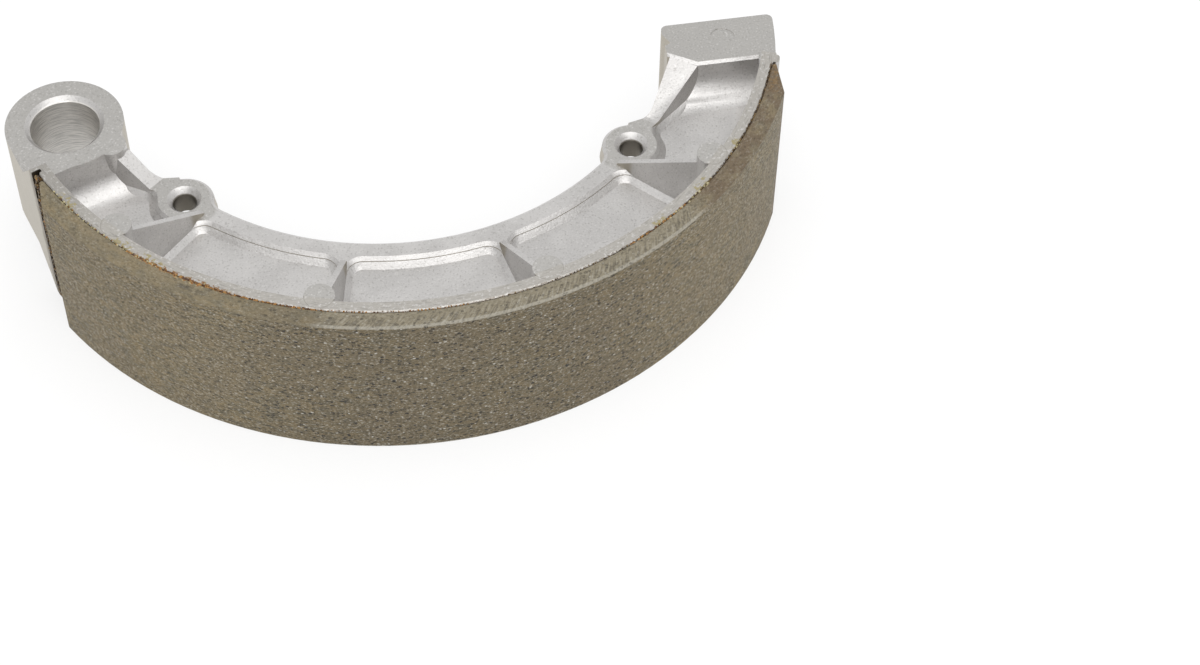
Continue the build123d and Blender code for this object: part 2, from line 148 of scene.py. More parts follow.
class Painter:
    """Shader maths on object coordinates in millimetres, inside one material."""

    def __init__(self, name: str) -> None:
        """Start a material with its coordinates.

        Args:
            name: the material's name.
        """
        self.material = bpy.data.materials.new(name)
        self.material.use_nodes = True
        self.tree = self.material.node_tree
        self.shader = self.tree.nodes["Principled BSDF"]
        source = add_node(self.tree, "ShaderNodeTexCoord").outputs["Object"]
        links = {0: source, "Scale": 1 / MM}
        self.place = add_node(self.tree, "ShaderNodeVectorMath", {"operation": "SCALE"}, links).outputs[0]
        self.x, self.y, self.z = self.split(self.place)
        self.radius = self.reach(self.x, self.y)
        turn = self.maths("ARCTAN2", self.y, self.x)
        self.angle = self.maths("MULTIPLY", turn, math.degrees(1.0))
        self.arc = self.maths("MULTIPLY", turn, SIZES.drum_radius)
        self.height = self.maths("ABSOLUTE", self.z)

    def split(self, vector: Socket) -> list[Socket]:
        """Return a vector's three parts."""
        return list(add_node(self.tree, "ShaderNodeSeparateXYZ", None, {0: vector}).outputs)

    def vector(self, *parts: Socket) -> Socket:
        """Join two or three parts to a vector."""
        return add_node(self.tree, "ShaderNodeCombineXYZ", None, dict(enumerate(parts))).outputs[0]

    def maths(self, operation: str, *values: Socket | float) -> Socket:
        """Join values by one Math operation and return its result."""
        settings = {"operation": operation}
        return add_node(self.tree, "ShaderNodeMath", settings, dict(enumerate(values))).outputs[0]

    def reach(self, across: Socket, along: Socket) -> Socket:
        """Return the distance from the origin in a plane."""
        squares = [self.maths("MULTIPLY", part, part) for part in (across, along)]
        return self.maths("SQRT", self.maths("ADD", *squares))

    def ramp(self, value: Socket, low: float, high: float, start: float = 0.0, end: float = 1.0) -> Socket:
        """Map a value smoothly from one range to another, clamped at both ends.

        Args:
            value: the value.
            low: where the ramp starts.
            high: where the ramp ends, which may be below low.
            start: the result at low.
            end: the result at high.

        Returns:
            The mapped value.
        """
        links = {0: value, 1: min(low, high), 2: max(low, high)}
        links.update({3: start, 4: end} if low < high else {3: end, 4: start})
        settings = {"interpolation_type": "SMOOTHSTEP"}
        return add_node(self.tree, "ShaderNodeMapRange", settings, links).outputs[0]

    def window(self, value: Socket, low: float, high: float, soft: float) -> Socket:
        """Return 1 between two values and 0 outside them, with soft ends."""
        ends = self.ramp(value, low - soft, low + soft), self.ramp(value, high + soft, high - soft)
        return self.maths("MULTIPLY", *ends)

    def side_face(self, deep: float, shallow: float) -> Socket:
        """Return 1 on both side faces, rising from 0 between two depths in millimetres."""
        return self.ramp(self.height, SIZES.half_width - deep, SIZES.half_width - shallow)

    def both(self, *shares: Socket | float) -> Socket:
        """Multiply shares from 0 to 1.

        Args:
            shares: the shares, the first one a socket.

        Returns:
            Their product.
        """
        result = shares[0]
        for share in shares[1:]:
            result = self.maths("MULTIPLY", result, share)
        return result

    def any(self, *shares: Socket) -> Socket:
        """Pick the largest of some shares.

        Args:
            shares: the shares.

        Returns:
            The largest one at each place.
        """
        result = shares[0]
        for share in shares[1:]:
            result = self.maths("MAXIMUM", result, share)
        return result

    def mix(self, share: Socket | float, low: Socket | str, high: Socket | str) -> Socket:
        """Mix two colours.

        Args:
            share: share of the second colour, from 0 to 1.
            low: the first colour, a socket or a hex code.
            high: the second colour, a socket or a hex code.

        Returns:
            The mixed colour.
        """
        node = add_node(self.tree, "ShaderNodeMix", {"data_type": "RGBA"}, {0: share})
        for number, value in ((6, low), (7, high)):
            if isinstance(value, str):
                node.inputs[number].default_value = linear(value)
            else:
                self.tree.links.new(value, node.inputs[number])
        return node.outputs[2]

    def lay(self, over: str, colour: Socket, value: Socket, cover: Cover, *where: Socket) -> Socket:
        """Lay a colour over another one where a pattern's value is in its range.

        Args:
            over: hex code of the upper colour.
            colour: the colour below.
            value: the pattern's value.
            cover: where the pattern begins and is full, and its share there.
            where: shares that keep the pattern to some places.

        Returns:
            The mixed colour.
        """
        share = self.ramp(value, cover.start, cover.full, 0.0, cover.share)
        return self.mix(self.both(share, *where), colour, over)

    def stretched(self, cell: Triple) -> Socket:
        """Coordinates along the arc, the radius and the height, each in units of its own length.

        Args:
            cell: millimetres along the arc, the radius and the drum's axis for one unit.

        Returns:
            The vector for a texture of size 1.
        """
        pairs = zip((self.arc, self.radius, self.z), cell)
        return self.vector(*[self.maths("DIVIDE", value, length) for value, length in pairs])

    def noise(
        self, size: float, detail: float = 2.0, vector: Socket | None = None, rough: float = 0.5
    ) -> Socket:
        """Noise from 0 to 1 with features of a size in millimetres.

        Args:
            size: size of the features.
            detail: number of finer octaves.
            vector: other coordinates, or None for the plain ones.
            rough: weight of the finer octaves.

        Returns:
            The noise's value.
        """
        links = {"Vector": vector or self.place, "Scale": 1 / size, "Detail": detail, "Roughness": rough}
        return add_node(self.tree, "ShaderNodeTexNoise", None, links).outputs["Fac"]

    def flecks(self, kind: Flecks) -> Socket:
        """Scatter flecks, one in some of the cells of a grid.

        Args:
            kind: the flecks' grid, number and size.

        Returns:
            A share of 1 inside the flecks.
        """
        links = {"Vector": self.stretched(kind.cell), "Scale": 1.0}
        node = add_node(self.tree, "ShaderNodeTexVoronoi", None, links)
        chance = add_node(self.tree, "ShaderNodeSeparateColor", None, {0: node.outputs["Color"]}).outputs
        smallest, largest = (part * kind.radius for part in FLECK_RANGE)
        inside = self.maths(
            "SUBTRACT", self.ramp(chance[1], 0.0, 1.0, smallest, largest), node.outputs["Distance"]
        )
        chosen = self.ramp(chance[0], kind.share, kind.share - CHANCE_EDGE)
        return self.both(self.ramp(inside, 0.0, FLECK_EDGE), chosen)

    def finish(self, colour: Socket, roughness: Socket | float, metallic: float = 0.0) -> bpy.types.Material:
        """Give the shader its colour, roughness and metal.

        Args:
            colour: the base colour.
            roughness: the roughness, a socket or a value.
            metallic: 1 for bare metal.

        Returns:
            The finished material.
        """
        self.tree.links.new(colour, self.shader.inputs["Base Color"])
        if isinstance(roughness, float):
            self.shader.inputs["Roughness"].default_value = roughness
        else:
            self.tree.links.new(roughness, self.shader.inputs["Roughness"])
        self.shader.inputs["Metallic"].default_value = metallic
        return self.material

    def relief(self, layers: list[tuple[Socket, float]]) -> None:
        """Give the shader the relief of several layers.

        Args:
            layers: pairs of a value from 0 to 1 and its height in millimetres.
        """
        normal: Socket | None = None
        for value, depth in layers:
            links = {"Height": value, "Distance": depth * MM, "Strength": 1.0}
            if normal is not None:
                links["Normal"] = normal
            normal = add_node(self.tree, "ShaderNodeBump", None, links).outputs[0]
        if normal is not None:
            self.tree.links.new(normal, self.shader.inputs["Normal"])


@dataclass(frozen=True)
class ResinStain:
    """Resin that ran from the joint over both side faces, in amber grains and pale films."""

    amber: str = "8A5B26"
    straw: str = "ADA27C"
    umber: str = "5F4A2E"
    amber_span: Span = (-133.0, -119.0)
    faint_span: Span = (-117.0, -61.0)
    cam_span: Span = (-60.5, -44.0)
    tip_span: Span = (-41.0, -20.0)
    straw_spans: tuple[Span, ...] = (
        (-149.5, -146.0),
        (-138.0, -134.8),
        (-133.0, -129.0),
        (-57.0, -54.5),
        (-48.0, -45.0),
        (-38.0, -36.2),
    )
    edge_size: float = 0.9
    grain_size: float = 0.5
    # Noise values at the least and the furthest reach, with the reach and the softness in millimetres
    amber_noise: Span = (0.35, 0.65)
    amber_reach: Span = (0.1, 0.95)
    amber_soft: float = 0.15
    umber_noise: Span = (0.4, 0.6)
    umber_reach: Span = (0.1, 0.35)
    umber_soft: float = 0.1
    film_noise: Span = (0.42, 0.6)
    film_soft: float = 0.3
    mottle: Span = (0.48, 0.62)
    cover: float = 0.85
    umber_cover: float = 0.8
    faint_cover: float = 0.6

    def paint(self, paint: Painter, colour: Socket, rim: float) -> Socket:
        """Lay the stains over a colour.

        Args:
            paint: the material's painter.
            colour: the colour below.
            rim: how far the films reach over the table's edge, in millimetres.

        Returns:
            The stained colour.
        """
        face = paint.side_face(0.8, 0.6)
        ragged = paint.noise(self.edge_size, 3.0, rough=BROKEN)
        close = self.near(paint, paint.ramp(ragged, *self.amber_noise, *self.amber_reach), self.amber_soft)
        thin = self.near(paint, paint.ramp(ragged, *self.umber_noise, *self.umber_reach), self.umber_soft)
        film = self.near(paint, paint.ramp(ragged, *self.film_noise, 0.0, rim), self.film_soft)
        amber = paint.window(paint.angle, *self.amber_span, 2.5)
        streak = paint.any(
            paint.both(paint.window(paint.angle, *self.faint_span, 1.5), self.faint_cover),
            paint.window(paint.angle, *self.cam_span, 0.8),
            paint.window(paint.angle, *self.tip_span, 0.5),
        )
        straw = paint.any(*[paint.window(paint.angle, *span, 0.5) for span in self.straw_spans])
        colour = paint.mix(paint.both(face, film, straw, self.cover), colour, self.straw)
        colour = paint.mix(paint.both(face, thin, streak, self.umber_cover), colour, self.umber)
        mottled = paint.ramp(paint.noise(self.grain_size, 2.0), *self.mottle)
        grains = paint.mix(mottled, self.amber, self.straw)
        return paint.mix(paint.both(face, close, amber, self.cover), colour, grains)

    def near(self, paint: Painter, reach: Socket, soft: float) -> Socket:
        """Return 1 where the joint is nearer than a reach, with a soft edge in millimetres."""
        away = paint.maths("ABSOLUTE", paint.maths("SUBTRACT", paint.radius, SIZES.joint_radius))
        return paint.ramp(paint.maths("SUBTRACT", reach, away), 0.0, soft)


@dataclass(frozen=True)
class BlastedCasting:
    """Die-cast aluminium, blasted: a satin grey with a fine grain, darker where it was cut or ground."""

    cast: str = "C9C7C5"
    pale: str = "D2D0CE"
    cut: str = "B8B6B2"
    pit: str = "8F8C87"
    rubbed: str = "DEDCDA"
    ground: str = "BBB7B0"
    # Painted shade: a darker warm grey for the upright walls that face away from the pockets
    outer_wall_shade: str = "B5AE9F"
    bored: str = "E4E1DC"
    brown: str = "6B5F4A"
    # Painted shade: the darker grey inside the spring holes
    deep: str = "6F6A61"
    seam: str = "7C766C"
    cast_roughness: float = 0.44
    cut_roughness: float = 0.52
    cloud_size: float = 8.0
    grain_size: float = 0.42
    grain_height: float = 0.045
    wave_size: float = 4.0
    wave_height: float = 0.1
    tool_mark_height: float = 0.06
    # Slope, from 0 on upright walls to 1 on level faces, at which each kind of face begins and is full
    upright: Span = (0.5, 0.3)
    level: Span = (0.93, 0.98)
    # Where the walls that face away from the pockets begin, in millimetres and degrees
    outer_radius: Span = (83.5, 84.5)
    boss_back_x: Span = (-79.0, -80.5)
    shoulder_angle: Span = (-155.7, -156.4)
    inner_radius: Span = (64.0, 62.5)
    cloud: Span = (0.35, 0.65)
    cut_share: float = 0.8
    dark_grain: Cover = Cover(0.42, 0.26, 0.4)
    bright_grain: Cover = Cover(0.58, 0.75, 0.6)
    # Shares of the painted shade on the outer walls and inside the spring holes
    outer_wall_shade_share: float = 0.8
    hole_shade_share: float = 0.9
    # The ground rim grows duller, in degrees, towards the pivot boss
    ground_share: float = 0.75
    dull_rim: Cover = Cover(-140.0, -150.0, 0.35)
    crumb_size: float = 0.8
    crumbs: Cover = Cover(0.52, 0.68, 0.7)
    scratch_cell: Triple = (2.6, 0.25, 1.0)
    scratches: Cover = Cover(0.46, 0.34, 0.5)
    # The seam round each pad, in millimetres from its edge, and its line's wobble
    seam_gap: Span = (0.05, 0.15)
    seam_soft: float = 0.07
    seam_share: float = 0.55
    wobble_size: float = 1.2
    wobble: float = 0.3
    # The tool's marks in the bore, and how they are squeezed along its depth
    mark_size: float = 0.55
    mark_pitch: float = 2.2
    marks: Span = (0.4, 0.65)
    bore_share: float = 0.85
    # The brown stain beside the groove, in degrees from it
    stain_span: Span = (-0.4, 3.0)
    stain_soft: float = 0.9
    stain_share: float = 0.85
    film_reach: float = 1.9

    def material(self) -> bpy.types.Material:
        """Build the material.

        Returns:
            The casting's material.
        """
        paint = Painter("die_cast_aluminium_blasted")
        # The sandy grain is about 0.2 mm on the real casting and drawn coarser so that it shows
        grain = paint.noise(self.grain_size, 1.0)
        cloud = paint.noise(self.cloud_size, 3.0)
        slope = self.flatness(paint)
        holes = [self.from_axis(paint, across, along) for across, along in SIZES.spring_holes]
        cut = self.cut_faces(paint, slope, holes)
        colour = paint.mix(paint.ramp(cloud, *self.cloud), self.cast, self.pale)
        colour = paint.mix(paint.both(cut, self.cut_share), colour, self.cut)
        colour = paint.lay(self.pit, colour, grain, self.dark_grain)
        colour = paint.lay(self.rubbed, colour, grain, self.bright_grain)
        colour = self.paint_rim(paint, colour)
        colour = self.paint_wall_shade(paint, colour, slope)
        # Painted shade: darken the walls inside the spring holes
        inside = [paint.ramp(away, SIZES.hole_radius + 0.25, SIZES.hole_radius + 0.1) for away in holes]
        colour = paint.mix(paint.both(paint.any(*inside), self.hole_shade_share), colour, self.deep)
        bore = self.bore(paint)
        streaks = paint.noise(self.mark_size, 3.0, self.turned(paint))
        bored = paint.mix(paint.ramp(streaks, *self.marks), self.bored, self.cut)
        colour = paint.mix(paint.both(bore, self.bore_share), colour, bored)
        colour = self.paint_stain(paint, colour)
        colour = ResinStain().paint(paint, colour, self.film_reach)
        wave = paint.noise(self.wave_size, 2.0)
        tool_marks = paint.both(streaks, bore)
        layers = [
            (wave, self.wave_height),
            (grain, self.grain_height),
            (tool_marks, self.tool_mark_height),
        ]
        paint.relief(layers)
        return paint.finish(colour, paint.ramp(cut, 0.0, 1.0, self.cast_roughness, self.cut_roughness), 1.0)

    def flatness(self, paint: Painter) -> Socket:
        """Return 1 on faces that lie flat and 0 on walls that stand upright."""
        slope = add_node(paint.tree, "ShaderNodeNewGeometry").outputs["True Normal"]
        return paint.maths("ABSOLUTE", paint.split(slope)[2])

    def cut_faces(self, paint: Painter, slope: Socket, holes: list[Socket]) -> Socket:
        """Find the level faces that stand above the flange, with the ears' tops.

        Args:
            paint: the material's painter.
            slope: 1 on level faces and 0 on upright walls.
            holes: the distance from each spring hole's axis.

        Returns:
            A share of 1 on those faces.
        """
        ears = paint.any(*[paint.ramp(away, SIZES.ear_radius + 1.0, SIZES.ear_radius) for away in holes])
        at_top = paint.ramp(paint.height, SIZES.flange_top - 0.4, SIZES.flange_top - 0.1)
        above = paint.ramp(paint.height, SIZES.flange_top + 0.3, SIZES.flange_top + 0.6)
        raised = paint.any(paint.both(ears, at_top), above)
        return paint.both(raised, paint.ramp(slope, *self.level))

    def paint_wall_shade(self, paint: Painter, colour: Socket, slope: Socket) -> Socket:
        """Paint shade, a darker warm grey, on the upright walls that face away from the pockets.

        Args:
            paint: the material's painter.
            colour: the colour below.
            slope: 1 on level faces and 0 on upright walls.

        Returns:
            The changed colour.
        """
        far = paint.any(
            paint.ramp(paint.radius, *self.outer_radius), paint.ramp(paint.x, *self.boss_back_x)
        )
        far = paint.both(far, paint.ramp(paint.angle, *self.shoulder_angle))
        outside = paint.any(far, paint.ramp(paint.radius, *self.inner_radius))
        upright = paint.ramp(slope, *self.upright)
        # Painted shade: the darker warm grey goes on the outward upright walls by their facing alone
        return paint.mix(paint.both(upright, outside, self.outer_wall_shade_share), colour, self.outer_wall_shade)

    def turned(self, paint: Painter) -> Socket:
        """Lay coordinates about the pivot bore, stretched along the cut.

        Args:
            paint: the material's painter.

        Returns:
            The vector for a texture of the tool's marks.
        """
        across = paint.maths("SUBTRACT", paint.x, SIZES.pivot_x)
        along = paint.maths("SUBTRACT", paint.y, SIZES.pivot_y)
        deep = paint.maths("MULTIPLY", paint.z, self.mark_pitch)
        return paint.vector(paint.maths("ARCTAN2", along, across), deep)

    def bore(self, paint: Painter) -> Socket:
        """Return 1 on the wall of the pivot bore."""
        away = self.from_axis(paint, SIZES.pivot_x, SIZES.pivot_y)
        return paint.ramp(away, SIZES.bore_radius + 0.3, SIZES.bore_radius + 0.1)

    def from_axis(self, paint: Painter, axis_x: float, axis_y: float) -> Socket:
        """Return the distance from an upright axis in millimetres."""
        across = paint.maths("SUBTRACT", paint.x, axis_x)
        return paint.reach(across, paint.maths("SUBTRACT", paint.y, axis_y))

    def paint_rim(self, paint: Painter, colour: Socket) -> Socket:
        """Grind the table's side faces and cross them with scratches and bright rubbed spots.

        Args:
            paint: the material's painter.
            colour: the colour below.

        Returns:
            The changed colour.
        """
        edge = paint.ramp(paint.radius, SIZES.table_radius, SIZES.table_radius + 0.3)
        rim = paint.both(paint.side_face(0.4, 0.2), edge)
        scratch = paint.noise(1.0, 3.0, paint.stretched(self.scratch_cell))
        crumbs = paint.noise(self.crumb_size, 3.0, rough=BROKEN)
        colour = paint.mix(paint.both(rim, self.ground_share), colour, self.ground)
        colour = paint.lay(self.pit, colour, paint.angle, self.dull_rim, rim)
        colour = paint.lay(self.rubbed, colour, crumbs, self.crumbs, rim)
        colour = paint.lay(self.pit, colour, scratch, self.scratches, rim)
        return self.ring_pins(paint, colour, rim)

    def ring_pins(self, paint: Painter, colour: Socket, rim: Socket) -> Socket:
        """Draw the thin dark seam that each ejector pin left around its pad on the upper face.

        Args:
            paint: the material's painter.
            colour: the colour below.
            rim: 1 on the table's side faces.

        Returns:
            The changed colour.
        """
        wobble = paint.both(paint.noise(self.wobble_size, 2.0), self.wobble)
        near, far = (SIZES.pin_radius + gap for gap in self.seam_gap)
        upper = paint.ramp(paint.z, SIZES.half_width - 0.5, SIZES.half_width - 0.4)
        for angle in SIZES.pin_angles:
            turn = math.radians(angle)
            centre = Vector((math.cos(turn), math.sin(turn))) * SIZES.pin_distance
            away = paint.maths("ADD", self.from_axis(paint, *centre), wobble)
            seam = paint.window(away, near, far, self.seam_soft)
            colour = paint.mix(paint.both(rim, upper, seam, self.seam_share), colour, self.seam)
        return colour

    def paint_stain(self, paint: Painter, colour: Socket) -> Socket:
        """Stain the wall beside the groove at the lining's pivot end with brown resin.

        Args:
            paint: the material's painter.
            colour: the colour below.

        Returns:
            The changed colour.
        """
        edge = paint.maths("ADD", paint.angle, paint.both(paint.noise(2.5, 3.0), 2.0))
        start, end = (SIZES.groove_angle + turn for turn in self.stain_span)
        low = paint.window(edge, start, end, self.stain_soft)
        outer = paint.ramp(paint.radius, SIZES.joint_radius - 1.0, SIZES.joint_radius - 0.8)
        side = paint.ramp(paint.height, SIZES.half_width - 0.1, SIZES.half_width - 0.4)
        return paint.mix(paint.both(low, outer, side, self.stain_share), colour, self.brown)


@dataclass(frozen=True)
class FrictionCompound:
    """Moulded friction material: resin-bonded fibres and chips, olive brown, ground along the arc."""

    body: str = "766A52"
    tan: str = "7F7051"
    grey: str = "6A634F"
    shade: str = "453B2B"
    side: str = "857D6A"
    bevel: str = "655643"
    resin: str = "8A6A35"
    scratch: str = "4B463D"
    white: str = "B4B1A8"
    black: str = "24211D"
    roughness: float = 0.66
    roughness_spread: float = 0.1
    cloud_size: float = 14.0
    # Millimetres along the arc, the radius and the drum's axis of a fibre and a streak
    fibre: Triple = (0.62, 0.42, 0.36)
    streak: Triple = (4.0, 1.8, 0.9)
    fibre_weight: float = 0.7
    light_streaks: Span = (0.38, 0.62)
    patches: Cover = Cover(0.35, 0.65, 0.6)
    dark_streaks: Cover = Cover(0.46, 0.34, 0.36)
    middle_shade: Cover = Cover(0.0, 1.0, 0.4)
    dark_fibres: Cover = Cover(0.47, 0.33, 0.75)
    white_fibres: Cover = Cover(0.55, 0.7, 0.5)
    pits: Flecks = Flecks((1.15, 0.75, 0.65), 0.62, 0.31)
    chips: Flecks = Flecks((1.1, 0.75, 0.7), 0.2, 0.24)
    chip_share: float = 0.9
    ragged_size: float = 0.35
    ragged: Span = (0.38, 0.52)
    # Share of the fibres and flecks on the ground side faces, and of the flecks near both ends
    side_share: float = 0.45
    end_share: float = 0.35
    streak_height: float = 0.08
    pit_depth: float = 0.12
    fibre_height: float = 0.1
    # Degrees about the drum's axis
    middle_span: Span = (-114.0, -60.0)
    ground_span: Span = (-106.0, -50.0)
    bevel_start: Span = (-26.5, -24.5)
    brown_start: Span = (-52.0, -46.0)
    bevel_share: float = 0.95
    resin_size: float = 1.6
    resin_runs: Cover = Cover(0.5, 0.6, 0.35)
    # The ground side faces: millimetres along and across the slanted strokes, and their lean
    stroke_length: float = 3.0
    stroke_width: float = 0.6
    stroke_lean: float = 0.8
    dark_strokes: Cover = Cover(0.52, 0.36, 0.55)
    light_strokes: Cover = Cover(0.55, 0.68, 0.3)
    stroke_radius: Span = (86.2, 88.2)
    # Painted highlight: a thin pale line on the side faces along the edge to the working face, radii in
    # millimetres
    edge_highlight: Cover = Cover(89.35, 89.55, 0.35)
    # A dark smudge on the side face: degrees about the axis, and its radii in millimetres
    smudge_span: Span = (-125.7, -123.7)
    smudge_radius: Span = (87.2, 88.3)

    def material(self) -> bpy.types.Material:
        """Build the material.

        Returns:
            The lining's material.
        """
        paint = Painter("friction_compound_moulded")
        # Fibres and grains are 0.1 to 0.3 mm on the real lining and drawn coarser so that they show
        fine = paint.noise(1.0, 2.0, paint.stretched(self.fibre), self.fibre_weight)
        streaks = paint.noise(1.0, 4.0, paint.stretched(self.streak), BROKEN)
        cloud = paint.noise(self.cloud_size, 3.0)
        middle = paint.window(paint.angle, *self.middle_span, 20.0)
        colour = paint.mix(paint.ramp(streaks, *self.light_streaks), self.grey, self.tan)
        colour = paint.lay(self.body, colour, cloud, self.patches)
        colour = paint.lay(self.shade, colour, streaks, self.dark_streaks)
        colour = paint.lay(self.shade, colour, middle, self.middle_shade)
        colour = self.paint_side(paint, colour)
        cam_end = paint.ramp(paint.angle, *self.bevel_start)
        colour = paint.mix(paint.both(cam_end, self.bevel_share), colour, self.bevel)
        runs = paint.noise(self.resin_size, 3.0, rough=BROKEN)
        colour = paint.lay(self.resin, colour, runs, self.resin_runs, cam_end)
        depths = SIZES.half_width - 0.3, SIZES.half_width - 0.5
        flat = paint.ramp(paint.height, *depths, self.side_share, 1.0)
        colour = paint.lay(self.black, colour, fine, self.dark_fibres, flat)
        colour = paint.lay(self.white, colour, fine, self.white_fibres, flat)
        pits, chips = paint.flecks(self.pits), paint.flecks(self.chips)
        many = paint.both(paint.ramp(middle, 0.0, 0.7, self.end_share, 1.0), flat)
        ragged = paint.ramp(paint.noise(self.ragged_size, 2.0), *self.ragged)
        colour = paint.mix(paint.both(pits, ragged, many), colour, self.black)
        colour = paint.mix(paint.both(chips, ragged, many, self.chip_share), colour, self.white)
        colour = ResinStain().paint(paint, colour, 0.6)
        dents = paint.maths("SUBTRACT", 1.0, pits)
        paint.relief([(streaks, self.streak_height), (dents, self.pit_depth), (fine, self.fibre_height)])
        rough, smooth = self.roughness + self.roughness_spread, self.roughness - self.roughness_spread
        return paint.finish(colour, paint.ramp(fine, 0.3, 0.7, rough, smooth))

    def paint_side(self, paint: Painter, colour: Socket) -> Socket:
        """Grind the side faces: paler in the middle of the arc, with slanted strokes near the edge, and a
        painted highlight along the edge to the working face.

        Args:
            paint: the material's painter.
            colour: the colour below.

        Returns:
            The changed colour.
        """
        side = paint.side_face(0.5, 0.3)
        pale = paint.window(paint.angle, *self.ground_span, 2.5)
        colour = paint.mix(paint.both(side, paint.ramp(pale, 0.0, 1.0, 0.2, 0.85)), colour, self.side)
        lean = paint.maths("ADD", paint.arc, paint.maths("MULTIPLY", paint.radius, self.stroke_lean))
        across = paint.maths("DIVIDE", lean, self.stroke_width)
        slant = paint.vector(across, paint.maths("DIVIDE", paint.radius, self.stroke_length))
        stroke = paint.noise(1.0, 2.0, slant, 0.6)
        strokes = paint.both(side, pale, paint.ramp(paint.radius, *self.stroke_radius, 0.25, 1.0))
        colour = paint.lay(self.scratch, colour, stroke, self.dark_strokes, strokes)
        colour = paint.lay(self.white, colour, stroke, self.light_strokes, strokes)
        # Painted highlight: the thin pale line along the side faces' outer edge
        colour = paint.lay(self.white, colour, paint.radius, self.edge_highlight, side, pale)
        smudge = paint.both(
            side,
            paint.window(paint.angle, *self.smudge_span, 0.5),
            paint.window(paint.radius, *self.smudge_radius, 0.3),
            paint.ramp(paint.noise(0.9, 2.0), 0.3, 0.6, 0.25, 0.7),
        )
        colour = paint.mix(smudge, colour, self.scratch)
        patchy = paint.ramp(paint.noise(3.0, 3.0), 0.35, 0.6, 0.3, 0.9)
        browned = paint.both(side, paint.ramp(paint.angle, *self.brown_start), patchy)
        return paint.mix(browned, colour, self.bevel)


@dataclass(frozen=True)
class CuredAdhesive:
    """Cured phenolic adhesive: hard resin that squeezed out of the joint in beads."""

    name: str
    dark: str
    light: str
    roughness: float = 0.3

    def material(self) -> bpy.types.Material:
        """Build the material.

        Returns:
            The adhesive's material.
        """
        paint = Painter(self.name)
        colour = paint.mix(paint.ramp(paint.noise(0.7, 2.0), 0.4, 0.62), self.dark, self.light)
        return paint.finish(colour, self.roughness)


AMBER = CuredAdhesive("phenolic_adhesive_amber", "4C2F14", "A07438")
STRAW = CuredAdhesive("phenolic_adhesive_straw", "857A56", "B3AA88")
UMBER = CuredAdhesive("phenolic_adhesive_umber", "3A2B1B", "75603C")


def link_object(name: str, mesh: bpy.types.Mesh) -> bpy.types.Object:
    """Put a mesh into the scene as an object at the origin.

    Args:
        name: the object's name.
        mesh: its mesh.

    Returns:
        The new object.
    """
    made = bpy.data.objects.new(name, mesh)
    bpy.context.scene.collection.objects.link(made)
    return made


def baked(piece: bpy.types.Object) -> bpy.types.Mesh:
    """Return the mesh of a piece with all its modifiers applied."""
    graph = bpy.context.evaluated_depsgraph_get()
    return bpy.data.meshes.new_from_object(piece.evaluated_get(graph))


@dataclass
class RoundedNode:
    """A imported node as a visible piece, with the small edge radii that moulding and blasting leave."""

    node: str
    name: str
    slot: str
    joint_bevel: float
    edge_radius: float
    segments: int = 2
    edge_angle: float = 28.0
    merge_distance: float = 0.002
    flat_angle: float = 0.6
    normal_weight: int = 80
    normal_threshold: float = 0.01

    def build(self) -> bpy.types.Object:
        """Copy the node's mesh, merge it, break its edges along the joint and round the others.

        Returns:
            The piece that stands for the node.
        """
        mesh = self.merged()
        mesh.shade_smooth()
        piece = link_object(self.name, mesh)
        joint = piece.modifiers.new("joint", "BEVEL")
        joint.limit_method = "WEIGHT"
        joint.width = self.joint_bevel * MM
        joint.segments = 1
        joint.use_clamp_overlap = False
        edges = piece.modifiers.new("edges", "BEVEL")
        edges.limit_method = "ANGLE"
        edges.angle_limit = math.radians(self.edge_angle)
        edges.width = self.edge_radius * MM
        edges.segments = self.segments
        weighted = piece.modifiers.new("normals", "WEIGHTED_NORMAL")
        weighted.weight = self.normal_weight
        weighted.thresh = self.normal_threshold
        rounded = baked(piece)
        piece.modifiers.clear()
        piece.data = rounded
        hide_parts(self.node)
        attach(piece, "root")
        return piece

    def merged(self) -> bpy.types.Mesh:
        """Copy the node's mesh with joined corners and whole flat faces, and weigh the joint's edges.

        Returns:
            The new mesh.
        """
        source = bmesh.new()
        source.from_mesh(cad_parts[self.node].data)
        bmesh.ops.remove_doubles(source, verts=source.verts, dist=self.merge_distance * MM)
        flat = math.radians(self.flat_angle)
        bmesh.ops.dissolve_limit(source, angle_limit=flat, verts=source.verts, edges=source.edges)
        weights = source.edges.layers.float.new("bevel_weight_edge")
        for edge in source.edges:
            edge[weights] = 1.0 if self.at_joint(edge) else 0.0
        mesh = bpy.data.meshes.new(self.name)
        source.to_mesh(mesh)
        source.free()
        return mesh

    def at_joint(self, edge: bmesh.types.BMEdge) -> bool:
        """Tell whether an edge runs along the joint on one of the side faces.

        Args:
            edge: the edge, in metres.

        Returns:
            Whether both its ends lie on the joint.
        """
        level, radius = SIZES.half_width * MM, SIZES.joint_radius * MM
        places = [vert.co for vert in edge.verts]
        return all(
            abs(abs(place.z) - level) < 0.01 * MM and abs(place.xy.length - radius) < 0.05 * MM
            for place in places
        )

    def dress(self, piece: bpy.types.Object, material: bpy.types.Material) -> None:
        """Give the piece its one material."""
        piece.data.materials.clear()
        piece.data.materials.append(material)


